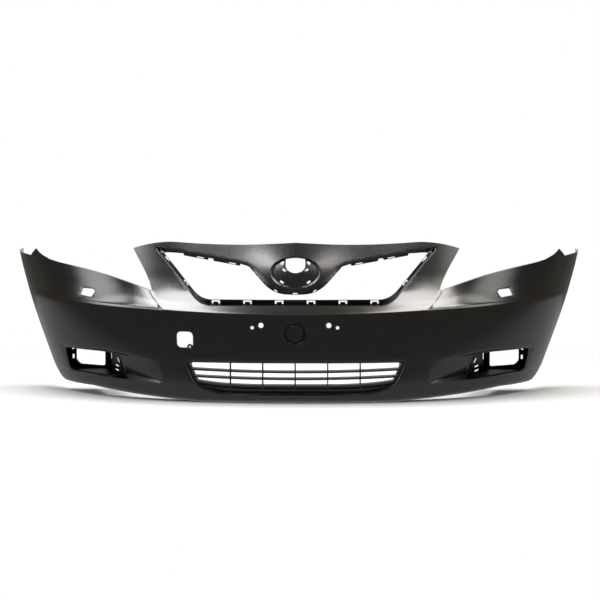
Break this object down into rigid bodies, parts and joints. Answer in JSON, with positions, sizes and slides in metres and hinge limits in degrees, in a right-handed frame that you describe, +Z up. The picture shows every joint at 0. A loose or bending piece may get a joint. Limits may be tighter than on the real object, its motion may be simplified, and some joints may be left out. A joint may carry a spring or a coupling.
{
  "type": "front bumper cover",
  "caption": "Moulded car front bumper cover with upper grille opening, emblem seat, slatted lower grille insert and fog lamp brackets in side scoops.",
  "frame": {"origin": "centre of the bounding box in plan, at the bottom edge", "axes": "+X across the car to the right of the picture, -Y the way the face looks, +Z up"},
  "size_m": [1.796, 0.6252, 0.4696],
  "materials": {
    "cover_plastic": "satin, as moulded",
    "insert_plastic": "fine grain",
    "bracket_plastic": "semi-gloss black",
    "screw_steel": "zinc plated"
  },
  "bodies": {
    "root": {"bumper_cover": "cover_plastic", "lower_grille": "insert_plastic", "lower_grille_screws": "screw_steel", "fog_bracket_left": "bracket_plastic", "fog_bracket_right": "bracket_plastic", "fog_bracket_screws_left": "screw_steel", "fog_bracket_screws_right": "screw_steel"}
  },
  "joints": []
}
